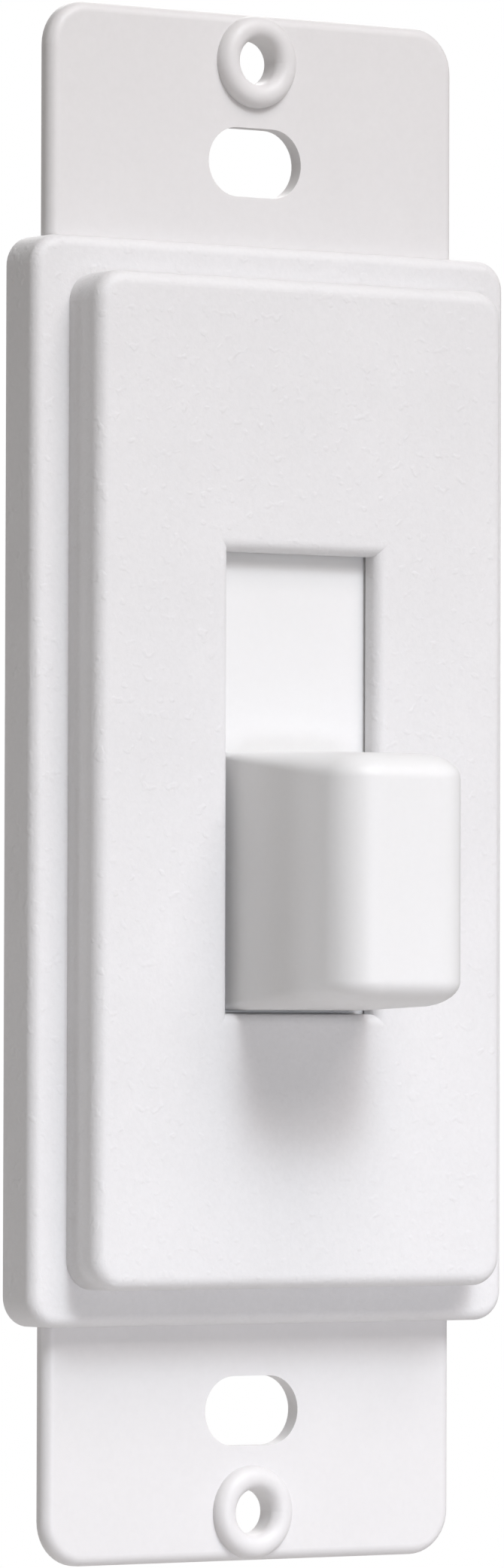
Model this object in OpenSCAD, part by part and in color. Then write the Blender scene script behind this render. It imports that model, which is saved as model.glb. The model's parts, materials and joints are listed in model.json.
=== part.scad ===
// Wall toggle switch for one gang, with a square block knob that slides up to switch on.
// Frame in millimetres: X to the right, Y into the wall, Z up.
// Y = 0 is the back face of the strap, and the origin is midway between the cover screws.

/* [Strap] */
// Width of the mounting strap
strap_w = 32.8; // [30:0.1:35]
// Height of the mounting strap
strap_h = 103.3; // [100:0.1:108]
// Thickness of the mounting strap
strap_t = 1.1; // [1:0.1:2.4]
// Corner radius of the strap's ears
strap_corner_r = 3; // [1:0.1:5]
// Rounding of the strap's front edge
strap_edge_r = 0.7; // [0.1:0.05:0.7]
// Distance between the two cover screw holes
cover_screw_pitch = 96.84; // [96:0.01:98]
// Radius of a cover screw hole
cover_hole_r = 1.5; // [1.2:0.05:1.8]
// Width of the round collar's wall about a cover screw hole
collar_wall = 1.6; // [1:0.1:2.2]
// Height of the collar's straight foot above the strap
collar_foot = 0.1; // [0:0.05:0.6]
// Distance between the two box screw slots
box_screw_pitch = 83.34; // [82:0.01:85]
// Length of a box screw slot
box_slot_l = 7.5; // [6:0.1:10]
// Width of a box screw slot
box_slot_w = 4.65; // [3.5:0.05:5.5]

/* [Face frame] */
// Width of the rim
rim_w = 38.2; // [36:0.1:42]
// Height of the rim
rim_h = 71.7; // [68:0.1:76]
// Depth of the rim from the strap's back face
rim_d = 3.45; // [2.5:0.05:5]
// Rounding of the rim's front edge
rim_edge_r = 0.75; // [0.2:0.05:1.5]
// Width of the raised face
face_w = 32.8; // [30:0.1:34]
// Height of the raised face
face_h = 66.8; // [64:0.1:68]
// Depth of the raised face from the strap's back face
face_d = 7.05; // [6.4:0.05:7.7]
// Rounding of the raised face's front edge
face_edge_r = 0.9; // [0.2:0.05:1.5]
// Corner radius of the rim and of the raised face
frame_corner_r = 2; // [1.6:0.1:4]
// Thickness of the wall behind the raised face
face_wall = 1.45; // [0.9:0.05:1.8]
// Thickness of the raised face's side walls
side_wall = 1.5; // [1:0.05:2.5]
// Width of the knob's slot
slot_w = 11.9; // [11.2:0.1:13]
// Height of the knob's slot
slot_h = 30.5; // [30.3:0.1:32]
// Rounding of the slot's lip
slot_lip_r = 0.8; // [0.2:0.05:1.2]

/* [Knob] */
// Width of the knob at its front
knob_w = 10.4; // [8:0.1:11]
// Height of the knob at its front
knob_h = 16.6; // [14:0.1:16.8]
// Distance from the strap's back face to the knob's front
knob_d = 19.45; // [14:0.05:24]
// Draft of the knob: how far its base reaches past its front on each side
knob_draft = 0.25; // [0:0.05:0.35]
// Rounding of the knob's front edges at its sides
knob_edge_r = 2.85; // [0.5:0.05:2.85]
// Rounding of the knob's front edges at its top and bottom
knob_end_r = 1.7; // [0.5:0.05:2.85]
// Corner radius of the knob at its base
knob_base_r = 0.5; // [0.2:0.05:1.5]
// Wall thickness of the hollow knob
knob_wall = 1.5; // [1.2:0.1:2.2]
// Travel of the knob from off to on
knob_travel = 13; // [10:0.1:13.3]
// Thickness of the two ribs that hold the lever's nose
knob_rib_t = 1.1; // [0.8:0.1:1.6]
// Depth of the near end of the ribs from the strap's back face
knob_rib_near = 7.6; // [7:0.1:9]
// Depth of the far end of the ribs
knob_rib_far = 12.4; // [11:0.1:14]

/* [Shutter and guide] */
// Width of the shutter plate behind the slot
shutter_w = 15; // [12:0.1:16]
// Height of the shutter plate
shutter_h = 45.6; // [44:0.1:47]
// Thickness of the shutter plate
shutter_t = 1.2; // [0.8:0.1:1.4]
// Height of the spigot that the knob fits over
spigot_d = 1.2; // [0.6:0.1:1.7]
// Width of the lever's hole in the shutter, the guide and the strap
lever_hole_w = 5; // [4.4:0.1:6]
// Height of the lever's hole in the shutter
shutter_hole_h = 7.2; // [6:0.1:9]
// Height of the lever's hole in the guide plate
guide_hole_h = 12.8; // [11:0.1:15]
// Height of the lever's hole in the strap
strap_hole_h = 10.8; // [9:0.1:13]
// Thickness of the guide plate
guide_t = 1.2; // [0.8:0.1:1.6]
// Width of the guide plate's ribs
guide_rib_w = 1; // [0.6:0.1:1.5]
// Width of a stop pad
stop_pad_w = 8; // [4:0.5:12]

/* [Rear housing] */
// Width of the housing
housing_w = 20; // [18.4:0.1:20.2]
// Height of the housing
housing_h = 54; // [52:0.5:55]
// Depth of the housing behind the strap
housing_d = 12.5; // [12.5:0.1:13]
// Wall thickness of the housing
housing_wall = 1.4; // [1:0.1:1.4]
// Corner radius of the housing
housing_corner_r = 2; // [1.6:0.1:3]
// Rounding of the housing's rear edge
housing_edge_r = 1; // [0.3:0.1:1.5]
// Width of the shallow panel in the housing's back
panel_w = 11; // [8:0.5:13]
// Height of the shallow panel
panel_h = 36; // [24:0.5:42]
// Depth of the shallow panel and of the strip gauge
panel_d = 0.4; // [0.2:0.1:0.7]
// Length of the strip gauge, as long as a wire's bared end
gauge_l = 15.9; // [12:0.1:20]
// Width of the strip gauge
gauge_w = 1.6; // [1:0.1:2]
// Reach of the barriers beside the terminal screws, from the centre
barrier_x = 13.6; // [12:0.1:14.4]
// Thickness of a barrier
barrier_t = 1; // [0.8:0.1:1.2]
// Width of the housing's flange
flange_w = 29; // [28:0.5:31]
// Height of the housing's flange
flange_h = 60; // [58:0.5:64]
// Thickness of the housing's flange
flange_t = 1.5; // [1:0.1:2]
// Distance between housing screws across the switch
housing_screw_dx = 24.6; // [24.4:0.1:24.7]
// Distance between housing screws up the switch
housing_screw_dz = 52; // [51:0.5:56]
// Shank radius of a housing screw
housing_screw_r = 1.1; // [0.9:0.05:1.4]
// Head radius of a housing screw
housing_screw_head_r = 2.1; // [1.7:0.05:2.2]
// Head height of a housing screw
housing_screw_head_t = 1.4; // [0.8:0.1:1.8]
// Depth in the frame that a housing screw reaches
housing_screw_reach = 4.8; // [3:0.1:5]
// Outside radius of a screw boss in the frame
boss_r = 2.4; // [1.8:0.1:2.6]

/* [Lever] */
// Distance of the lever's pivot behind the strap's back face
pivot_y = 6; // [5.4:0.1:6.3]
// Half of the lever's swing, in degrees
swing = 24; // [21:0.5:25]
// Width of the lever's arm
lever_w = 4; // [3:0.1:4.4]
// Radius of the lever's nose
nose_r = 1.6; // [1:0.1:1.8]
// Half thickness of the arm at the nose
arm_tip = 0.9; // [0.6:0.05:1.2]
// Half thickness of the arm at the hub
arm_root = 1.6; // [1:0.05:2]
// Radius of the lever's hub
hub_r = 2.8; // [2.6:0.1:3.1]
// Width of the lever's hub
hub_w = 8.4; // [7:0.1:9]
// Distance from the pivot to each detent flat
flat_dist = 2.4; // [2.1:0.05:2.6]
// Radius of the lever's tail
tail_r = 1.1; // [0.8:0.05:1.3]
// Distance from the pivot to the tail's centre
tail_dist = 3.6; // [3.2:0.05:3.9]
// Width of the tail
tail_w = 3; // [2:0.1:3.2]
// Radius of the pivot pin
pin_r = 1; // [0.8:0.05:1.2]
// Length of the pivot pin
pin_l = 19.8; // [18:0.1:20]

/* [Detent] */
// Thickness of a detent leaf
leaf_t = 0.35; // [0.2:0.05:0.5]
// Width of a detent leaf
leaf_w = 2.1; // [1.5:0.1:2.4]
// Distance of a detent leaf's middle from the centre
leaf_x = 3; // [2.8:0.1:3.2]
// Half length of the leaf's crown on the hub
leaf_crown = 1.3; // [0.8:0.1:1.5]
// Half distance between the leaf's feet
leaf_feet = 2.8; // [2.4:0.1:3]
// Length of each foot
leaf_foot_l = 1; // [0.6:0.1:1.3]
// Height of the shelf that the leaf's feet rest on
shelf_z = 5.6; // [5:0.1:6.5]
// Thickness of the shelf
shelf_t = 1.2; // [0.8:0.1:1.6]

/* [Contacts] */
// Width of the carriage's back bar
carriage_w = 11; // [9:0.1:12]
// Thickness of the carriage's back bar
carriage_t = 1.6; // [1.2:0.1:2]
// Width of the carriage's cage
cage_w = 4.8; // [4:0.1:5]
// Depth of the cage's front face behind the strap's back face
cage_y = 4.2; // [3.5:0.1:4.4]
// Wall thickness of the cage
cage_wall = 0.8; // [0.6:0.1:1]
// Thickness of the cage's roof and floor
cage_floor = 1.2; // [0.8:0.1:1.6]
// Height of the cage's roof below the pivot
cage_top = 3.2; // [3:0.1:4]
// Length of the bridge bar
bridge_l = 12.6; // [11:0.1:13]
// Width of the bridge bar
bridge_w = 2.8; // [2:0.1:3.1]
// Thickness of the bridge bar
bridge_t = 1; // [0.6:0.1:1.4]
// Distance of each contact from the centre
contact_x = 4.6; // [4.2:0.1:5]
// Radius of a contact
contact_r = 1.5; // [1:0.1:1.7]
// Thickness of a contact
contact_t = 0.8; // [0.5:0.1:1.2]
// Gap left between the closed contacts
contact_gap = 0.1; // [0.05:0.01:0.3]
// Depth of the contacts behind the strap's back face
contact_y = 6.6; // [6.5:0.1:7]
// Height of the terminal seats below the pivot
seat_z = 16; // [15:0.1:17]
// Thickness of the bridge spring's strip
spring_t = 0.35; // [0.2:0.05:0.5]
// Width of the bridge spring's strip
spring_w = 2.2; // [1.5:0.1:2.6]

/* [Terminals] */
// Thickness of a terminal strip
terminal_t = 1; // [0.7:0.1:1.2]
// Inner end of each terminal seat from the centre
seat_x = 2.9; // [2.7:0.1:3.2]
// Near edge of a terminal strip behind the strap's back face
terminal_y0 = 4; // [3.5:0.1:5]
// Far edge of a terminal strip
terminal_y1 = 9; // [8:0.1:9.2]
// Near edge of the long riser
riser_y0 = 8; // [7.6:0.1:8.5]
// Far edge of the long riser
riser_y1 = 11; // [10:0.1:11]
// Height of the terminal screws above and below the pivot
terminal_screw_z = 21.3; // [20:0.1:22]
// Height of a terminal head plate
terminal_plate_h = 5.4; // [4.4:0.1:6]
// Shank radius of a terminal screw
terminal_screw_r = 1.6; // [1.2:0.1:2]
// Head radius of a terminal screw
terminal_head_r = 3.1; // [2.5:0.1:3.4]
// Head thickness of a terminal screw
terminal_head_t = 2; // [1.2:0.1:2.6]
// Inner end of a terminal screw from the centre
terminal_screw_tip = 5.5; // [5:0.1:7]
// Side of a square wire clamp
clamp_side = 6.4; // [5:0.1:6.6]
// Thickness of a wire clamp
clamp_t = 1.2; // [0.8:0.1:1.6]
// Space for a wire under a clamp
wire_gap = 1.4; // [1:0.1:2.2]

/* [Hidden] */
$fn = 48;
seat_fit = 0.05;      // clearance between fixed pieces
run_fit = 0.06;       // radial clearance on the pivot pin
slide_fit = 0.1;      // clearance over sliding faces
side_fit = 0.2;       // clearance beside sliding faces
shutter_gap = 0.25;   // open joint between the face and the shutter
screw_fit = 0.24;     // radial clearance round a housing screw
bite_fit = 0.02;      // clearance of a screw or leaf where it bears
cut = 1;              // how far a cutting shape runs past a face
pocket_corner_r = 1;  // corner radius of a pocket or a flat plate
driver_w = 0.6;       // width of a screwdriver slot
driver_d = 0.8;       // depth of a screwdriver slot
head_taper = 0.75;    // share of a screw head's radius left at its top
knob_land = 0.2;      // straight height of the knob's base
loft_fn = 32;         // segments of the arcs inside the knob's hull

knob_z = -knob_travel / 2;                   // knob centre when off
nose_dist = knob_travel / 2 / sin(swing);    // pivot to nose centre
rib_z = nose_r + side_fit;                   // knob centre to a rib's near face
face_back = face_d - face_wall;
pocket_w = face_w - 2 * side_wall;
pocket_h = face_h - 2 * side_wall;
shutter_front = face_back - shutter_gap;
shutter_back = shutter_front - shutter_t;
guide_front = shutter_back - slide_fit;
guide_back = guide_front - guide_t;
guide_rib_x = shutter_w / 2 + side_fit;
guide_leg_x = 8.2;
guide_leg_w = 1;
frame_in = strap_t + seat_fit;               // depth where the frame's inside starts
collar_r = cover_hole_r + collar_wall / 2;   // middle of the collar's wall

inner_w = housing_w - 2 * housing_wall;
inner_h = housing_h - 2 * housing_wall;
inner_d = housing_d - housing_wall;
tail_z = tail_dist * sin(swing);             // tail centre when off
carriage_travel = 2 * tail_z;
carriage_lintel = 1.4;                       // bar over the tail's window
carriage_y0 = inner_d - slide_fit - carriage_t;
carriage_top = tail_z + tail_r + side_fit + carriage_lintel;
bridge_z = -seat_z + contact_t + contact_gap + contact_t + carriage_travel;
cage_bottom = bridge_z - cage_floor;
rail_x = carriage_w / 2 + side_fit;
rail_w = 1;
rail_lip = 0.8;
rail_bottom = -14.5;
shelf_x = 6.7;
leaf_z = flat_dist + bite_fit;
load_drop_z = -24;
load_riser_top = -terminal_screw_z + terminal_plate_h / 2;
wall_x = inner_w / 2;
clamp_x = wall_x + wire_gap;
window_half = clamp_side / 2 + side_fit;     // half of the opening for a wire clamp
barrier_z = window_half + side_fit;          // terminal screw to a barrier's near face
barrier_y = flange_t + housing_screw_head_t + side_fit;
gauge_x = (panel_w / 2 + housing_w / 2 - housing_edge_r) / 2;

strap_rgb = [0.90, 0.90, 0.91];
frame_rgb = [0.93, 0.93, 0.93];
knob_rgb = [0.96, 0.96, 0.95];
guide_rgb = [0.80, 0.81, 0.82];
housing_rgb = [0.62, 0.64, 0.66];
lever_rgb = [0.30, 0.31, 0.33];
carriage_rgb = [0.72, 0.60, 0.42];
brass_rgb = [0.80, 0.65, 0.30];
copper_rgb = [0.78, 0.47, 0.30];
silver_rgb = [0.84, 0.84, 0.82];
steel_rgb = [0.66, 0.68, 0.70];
pad_rgb = [0.18, 0.18, 0.19];

// ---- shared shapes ----

// Turns a shape drawn as (x, up, out of the wall) into the switch's frame.
module facing() {
  rotate([90, 0, 0]) children();
}

// A box from its low corner to its high corner.
module box(lo, hi) {
  translate(lo) cube(hi - lo);
}

// Outline of a slab seen end on, with both front corners rounded.
module slab_profile(w, d, r) {
  translate([-w / 2, 0]) square([w, d - r]);
  translate([-w / 2 + r, 0]) square([w - 2 * r, d]);
  for (s = [-1, 1]) translate([s * (w / 2 - r), d - r]) circle(r);
}

// A slab with rounded corners and a rounded front edge all round.
module soft_slab(w, h, d, corner, r) {
  rotate([90, 0, 0]) linear_extrude(h - 2 * corner, center = true) slab_profile(w, d, r);
  rotate([90, 0, 90]) linear_extrude(w - 2 * corner, center = true) slab_profile(h, d, r);
  for (sx = [-1, 1], sy = [-1, 1])
    translate([sx * (w / 2 - corner), sy * (h / 2 - corner), 0])
      rotate_extrude() intersection() {
        slab_profile(2 * corner, d, r);
        square([corner, d]);
      }
}

// A straight-sided block with rounded corners, seen from the front.
module round_block(w, h, d, corner) {
  translate([-w / 2 + corner, -h / 2, 0]) cube([w - 2 * corner, h, d]);
  translate([-w / 2, -h / 2 + corner, 0]) cube([w, h - 2 * corner, d]);
  for (sx = [-1, 1], sy = [-1, 1])
    translate([sx * (w / 2 - corner), sy * (h / 2 - corner), 0]) cylinder(r = corner, h = d);
}

// Outline of the knob's slot across a width w, flared at its rounded lip.
module slot_outline(w) {
  lip_z = face_d - slot_lip_r;
  translate([-w / 2, face_back - cut]) square([w, face_wall + 2 * cut]);
  difference() {
    translate([-w / 2 - slot_lip_r, lip_z]) square([w + 2 * slot_lip_r, slot_lip_r + cut]);
    for (s = [-1, 1]) translate([s * (w / 2 + slot_lip_r), lip_z]) circle(slot_lip_r);
  }
}

// Cuts the knob's slot, whose rounded lips meet in a mitre at each corner.
module slot_cutter() {
  intersection() {
    rotate([90, 0, 0]) linear_extrude(2 * slot_h, center = true) slot_outline(slot_w);
    rotate([90, 0, 90]) linear_extrude(2 * slot_h, center = true) slot_outline(slot_h);
  }
}

// Repeats a shape at the four housing screws.
module at_housing_screws() {
  for (sx = [-1, 1], sy = [-1, 1])
    translate([sx * housing_screw_dx / 2, sy * housing_screw_dz / 2, 0]) children();
}

// ---- front pieces ----

// Rim and raised face in one moulding, open at the back.
module face_frame() {
  color(frame_rgb) facing() difference() {
    union() {
      difference() {
        union() {
          soft_slab(rim_w, rim_h, rim_d, frame_corner_r, rim_edge_r);
          soft_slab(face_w, face_h, face_d, frame_corner_r, face_edge_r);
        }
        translate([0, 0, -cut]) round_block(pocket_w, pocket_h, face_back + cut, pocket_corner_r);
        box([-strap_w / 2 - seat_fit, -rim_h / 2 - cut, -cut],
            [strap_w / 2 + seat_fit, rim_h / 2 + cut, frame_in]);
        slot_cutter();
      }
      at_housing_screws() translate([0, 0, frame_in])
        cylinder(r = boss_r, h = face_back - frame_in + face_wall / 2);
    }
    at_housing_screws() cylinder(r = housing_screw_r + bite_fit, h = housing_screw_reach + side_fit);
  }
}

// Flat strap with an ear at each end, raised collars and slotted holes.
module mounting_strap() {
  color(strap_rgb) facing() difference() {
    union() {
      soft_slab(strap_w, strap_h, strap_t, strap_corner_r, strap_edge_r);
      for (s = [-1, 1]) translate([0, s * cover_screw_pitch / 2, 0]) rotate_extrude() {
        translate([cover_hole_r, 0]) square([collar_wall, strap_t + collar_foot]);
        translate([collar_r, strap_t + collar_foot]) circle(collar_wall / 2);
      }
    }
    for (s = [-1, 1]) {
      translate([0, s * cover_screw_pitch / 2, -cut])
        cylinder(r = cover_hole_r, h = strap_t + collar_wall + 2 * cut);
      translate([0, s * box_screw_pitch / 2, -cut]) {
        for (e = [-1, 1]) translate([e * (box_slot_l - box_slot_w) / 2, 0, 0])
          cylinder(r = box_slot_w / 2, h = strap_t + 2 * cut);
        translate([-(box_slot_l - box_slot_w) / 2, -box_slot_w / 2, 0])
          cube([box_slot_l - box_slot_w, box_slot_w, strap_t + 2 * cut]);
      }
    }
    at_housing_screws() translate([0, 0, -cut])
      cylinder(r = housing_screw_r + screw_fit, h = strap_t + 2 * cut);
    box([-lever_hole_w / 2, -strap_hole_h / 2, -cut],
        [lever_hole_w / 2, strap_hole_h / 2, strap_t + cut]);
  }
}

// Outside of the knob: a drafted block whose corners grow rounder towards its front.
module knob_body() {
  hull() {
    translate([0, 0, shutter_front])
      round_block(knob_w + 2 * knob_draft, knob_h + 2 * knob_draft, knob_land, knob_base_r,
                  $fn = loft_fn);
    for (sx = [-1, 1], sy = [-1, 1])
      translate([sx * (knob_w / 2 - knob_edge_r), sy * (knob_h / 2 - knob_end_r),
                 knob_d - knob_edge_r])
        scale([1, knob_end_r / knob_edge_r, 1]) sphere(knob_edge_r, $fn = loft_fn);
  }
}

// Hollow block knob, with two ribs inside that hold the lever's nose.
module toggle_knob() {
  in_w = knob_w - 2 * knob_wall;
  in_h = knob_h - 2 * knob_wall;
  color(knob_rgb) facing() translate([0, knob_z, 0]) {
    difference() {
      knob_body();
      translate([0, 0, shutter_front - cut])
        round_block(in_w, in_h, knob_d - knob_wall - shutter_front + cut, pocket_corner_r);
    }
    for (s = [0, 180]) rotate([0, 0, s])
      box([-in_w / 2 - knob_wall / 2, rib_z, knob_rib_near],
          [in_w / 2 + knob_wall / 2, rib_z + knob_rib_t, knob_rib_far]);
  }
}

// Flat plate that rides behind the slot and keeps it closed.
module shutter_plate() {
  fit_w = knob_w - 2 * knob_wall - 2 * seat_fit;
  fit_h = knob_h - 2 * knob_wall - 2 * seat_fit;
  color(knob_rgb) facing() translate([0, knob_z, 0]) difference() {
    union() {
      translate([0, 0, shutter_back]) round_block(shutter_w, shutter_h, shutter_t, pocket_corner_r);
      translate([0, 0, shutter_back])
        round_block(fit_w, fit_h, shutter_t + spigot_d, pocket_corner_r);
    }
    box([-lever_hole_w / 2, -shutter_hole_h / 2, shutter_back - cut],
        [lever_hole_w / 2, shutter_hole_h / 2, shutter_front + spigot_d + cut]);
  }
}

// Inner plate that holds the shutter against the face and guides its edges.
module guide_plate() {
  w = pocket_w - 2 * seat_fit;
  h = pocket_h - 2 * seat_fit;
  notch_x = housing_screw_dx / 2 - boss_r - side_fit;
  notch_z = housing_screw_dz / 2;
  color(guide_rgb) facing() difference() {
    union() {
      difference() {
        translate([0, 0, guide_back]) round_block(w, h, guide_t, pocket_corner_r);
        box([-lever_hole_w / 2, -guide_hole_h / 2, guide_back - cut],
            [lever_hole_w / 2, guide_hole_h / 2, guide_front + cut]);
      }
      for (s = [0, 1]) mirror([s, 0, 0]) {
        box([guide_rib_x, -h / 2, guide_front - guide_t / 3],
            [guide_rib_x + guide_rib_w, h / 2, face_back - seat_fit]);
        box([guide_leg_x, -h / 2, frame_in],
            [guide_leg_x + guide_leg_w, h / 2, guide_back + guide_t / 3]);
      }
    }
    for (sx = [0, 1], sy = [-1, 1]) mirror([sx, 0, 0])
      box([notch_x, sy * notch_z - boss_r - side_fit, frame_in - cut],
          [w / 2 + cut, sy * notch_z + boss_r + side_fit, face_back + cut]);
  }
}

// Soft pad that stops the shutter at one end of its travel; dir is -1 or 1.
module stop_pad(dir) {
  z0 = knob_travel / 2 + shutter_h / 2 + seat_fit;
  z1 = pocket_h / 2 - 2 * seat_fit;
  color(pad_rgb) facing() mirror([0, dir < 0 ? 1 : 0, 0])
    box([-stop_pad_w / 2, z0, guide_front],
        [stop_pad_w / 2, z1, face_back - seat_fit]);
}
module stop_pad_lower() { stop_pad(-1); }
module stop_pad_upper() { stop_pad(1); }

// ---- rear housing ----

// Fins above and below each terminal screw that keep the wires apart.
module terminal_barriers() {
  for (sz = [-1, 1], e = [barrier_z, -barrier_z - barrier_t])
    translate([0, 0, sz * terminal_screw_z + e])
      box([wall_x + housing_wall / 2, barrier_y, 0], [barrier_x, housing_d - housing_edge_r, barrier_t]);
}

// Shallow panel and strip gauge in the housing's back.
module back_marks() {
  facing() translate([0, 0, -housing_d - cut]) {
    round_block(panel_w, panel_h, panel_d + cut, pocket_corner_r);
    translate([gauge_x - gauge_w / 2, -gauge_l / 2, 0]) cube([gauge_w, gauge_l, panel_d + cut]);
  }
}

// Shelf for the detent leaves, and the two rails that hold the carriage.
module inner_ledges() {
  box([-wall_x - cut / 2, pivot_y - leaf_feet - leaf_foot_l, shelf_z],
      [shelf_x, inner_d + cut / 2, shelf_z + shelf_t]);
  for (s = [0, 1]) mirror([s, 0, 0]) {
    box([rail_x, carriage_y0 - slide_fit, rail_bottom],
        [rail_x + rail_w, inner_d + cut / 2, shelf_z + shelf_t / 2]);
    box([rail_x - rail_lip, carriage_y0 - slide_fit - rail_lip, rail_bottom],
        [rail_x + rail_w, carriage_y0 - slide_fit, shelf_z + shelf_t / 2]);
  }
}

// Tub behind the strap, with its flange, barriers and terminal windows.
module rear_housing() {
  color(housing_rgb) difference() {
    union() {
      difference() {
        union() {
          facing() mirror([0, 0, 1])
            soft_slab(housing_w, housing_h, housing_d, housing_corner_r, housing_edge_r);
          facing() translate([0, 0, -flange_t])
            round_block(flange_w, flange_h, flange_t, frame_corner_r);
          terminal_barriers();
        }
        facing() translate([0, 0, -inner_d])
          round_block(inner_w, inner_h, inner_d + cut, pocket_corner_r);
      }
      inner_ledges();
    }
    back_marks();
    translate([-housing_w, pivot_y, 0]) rotate([0, 90, 0])
      cylinder(r = pin_r + bite_fit, h = 2 * housing_w);
    for (s = [-1, 1])
      box([wall_x - cut / 2, pivot_y - window_half, s * terminal_screw_z - window_half],
          [housing_w / 2 + cut, pivot_y + window_half, s * terminal_screw_z + window_half]);
    facing() at_housing_screws() translate([0, 0, -flange_t - cut])
      cylinder(r = housing_screw_r + screw_fit, h = flange_t + 2 * cut);
  }
}

// Pan-head screw with a cross recess; its head bears on the flange.
module housing_screw(sx, sz) {
  color(steel_rgb)
    translate([sx * housing_screw_dx / 2, 0, sz * housing_screw_dz / 2]) facing() difference() {
      union() {
        translate([0, 0, -flange_t - housing_screw_head_t])
          cylinder(r1 = housing_screw_head_r * head_taper, r2 = housing_screw_head_r,
                   h = housing_screw_head_t / 2);
        translate([0, 0, -flange_t - housing_screw_head_t / 2])
          cylinder(r = housing_screw_head_r, h = housing_screw_head_t / 2);
        translate([0, 0, -flange_t - housing_screw_head_t / 2])
          cylinder(r = housing_screw_r, h = flange_t + housing_screw_head_t / 2
                   + housing_screw_reach);
      }
      for (a = [0, 90]) rotate([0, 0, a])
        translate([0, 0, -flange_t - housing_screw_head_t])
          cube([housing_screw_head_r, driver_w, 2 * driver_d], center = true);
    }
}
module housing_screw_1() { housing_screw(-1, 1); }
module housing_screw_2() { housing_screw(1, 1); }
module housing_screw_3() { housing_screw(-1, -1); }
module housing_screw_4() { housing_screw(1, -1); }

// ---- lever, pin and detent ----

// Lever between the knob and the carriage, drawn in its off position.
module toggle_lever() {
  color(lever_rgb) translate([0, pivot_y, 0]) rotate([swing, 0, 0]) difference() {
    union() {
      rotate([0, 90, 0]) cylinder(r = hub_r, h = hub_w, center = true);
      rotate([90, 0, -90]) linear_extrude(lever_w, center = true)
        polygon([[0, -arm_root], [nose_dist, -arm_tip], [nose_dist, arm_tip], [0, arm_root]]);
      translate([0, -nose_dist, 0]) rotate([0, 90, 0])
        cylinder(r = nose_r, h = lever_w, center = true);
      translate([0, tail_dist, 0]) rotate([0, 90, 0])
        cylinder(r = tail_r, h = tail_w, center = true);
      box([-tail_w / 2, 0, -tail_r], [tail_w / 2, tail_dist, tail_r]);
    }
    rotate([0, 90, 0]) cylinder(r = pin_r + run_fit, h = hub_w + 2 * cut, center = true);
    for (s = [-1, 1]) rotate([s * swing, 0, 0])
      box([-hub_w, -hub_r, flat_dist], [hub_w, hub_r, hub_r + cut]);
  }
}

// Pin that the lever turns on, held in both side walls of the housing.
module pivot_pin() {
  color(steel_rgb) translate([0, pivot_y, 0]) rotate([0, 90, 0])
    cylinder(r = pin_r, h = pin_l, center = true);
}

// Bent spring strip that presses on a flat of the hub, centred at x.
module detent_leaf(x) {
  side = [[leaf_crown, leaf_z], [leaf_feet, shelf_z - leaf_t],
          [leaf_feet + leaf_foot_l, shelf_z - leaf_t], [leaf_feet + leaf_foot_l, shelf_z],
          [leaf_feet - leaf_t, shelf_z], [leaf_crown - leaf_t, leaf_z + leaf_t]];
  other_side = [for (i = [len(side) - 1:-1:0]) [-side[i][0], side[i][1]]];
  color(steel_rgb) translate([x, pivot_y, 0]) rotate([90, 0, 90])
    linear_extrude(leaf_w, center = true) polygon(concat(side, other_side));
}
module detent_leaf_left() { detent_leaf(-leaf_x); }
module detent_leaf_right() { detent_leaf(leaf_x); }

// ---- contacts ----

// Slide with a window for the lever's tail and a cage for the bridge bar, drawn off.
module contact_carriage() {
  color(carriage_rgb) difference() {
    union() {
      box([-carriage_w / 2, carriage_y0, cage_bottom],
          [carriage_w / 2, carriage_y0 + carriage_t, carriage_top]);
      box([-cage_w / 2, cage_y, -cage_top - cage_floor],
          [cage_w / 2, carriage_y0 + carriage_t / 2, -cage_top]);
      box([-cage_w / 2, cage_y, cage_bottom],
          [cage_w / 2, carriage_y0 + carriage_t / 2, bridge_z]);
      box([-cage_w / 2, cage_y, cage_bottom], [cage_w / 2, cage_y + cage_wall, -cage_top]);
    }
    box([-tail_w / 2 - side_fit, carriage_y0 - cut, tail_z - tail_r - side_fit],
        [tail_w / 2 + side_fit, carriage_y0 + carriage_t + cut, tail_z + tail_r + side_fit]);
  }
}

// Copper bar that joins the two fixed contacts when the switch is on.
module bridge_bar() {
  color(copper_rgb)
    box([-bridge_l / 2, contact_y - bridge_w / 2, bridge_z],
        [bridge_l / 2, contact_y + bridge_w / 2, bridge_z + bridge_t]);
}

// Outline of the bridge spring: a lozenge with flat ends.
module spring_outline(half, end, low, high) {
  mid = (low + high) / 2;
  polygon([[-end, low], [end, low], [half, mid], [end, high], [-end, high], [-half, mid]]);
}

// Bowed spring strip between the cage's roof and the bridge bar.
module bridge_spring() {
  low = bridge_z + bridge_t + seat_fit;
  high = -cage_top - cage_floor - seat_fit;
  half = cage_w / 2 - side_fit;
  color(steel_rgb) translate([0, contact_y, 0]) rotate([90, 0, 0])
    linear_extrude(spring_w, center = true) difference() {
      spring_outline(half, 2 * spring_t, low, high);
      spring_outline(half - 1.2 * spring_t, spring_t, low + spring_t, high - spring_t);
    }
}

// Contact under the bridge bar, centred at x.
module moving_contact(x) {
  color(silver_rgb) translate([x, contact_y, bridge_z - contact_t])
    cylinder(r = contact_r, h = contact_t);
}
module moving_contact_left() { moving_contact(-contact_x); }
module moving_contact_right() { moving_contact(contact_x); }

// Contact on a terminal seat, with a tail through the seat, centred at x.
module fixed_contact(x) {
  color(silver_rgb) translate([x, contact_y, -seat_z]) {
    cylinder(r = contact_r, h = contact_t);
    translate([0, 0, -terminal_t]) cylinder(r = contact_r / 2, h = terminal_t + contact_t / 2);
  }
}
module fixed_contact_left() { fixed_contact(-contact_x); }
module fixed_contact_right() { fixed_contact(contact_x); }

// ---- terminals ----

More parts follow.
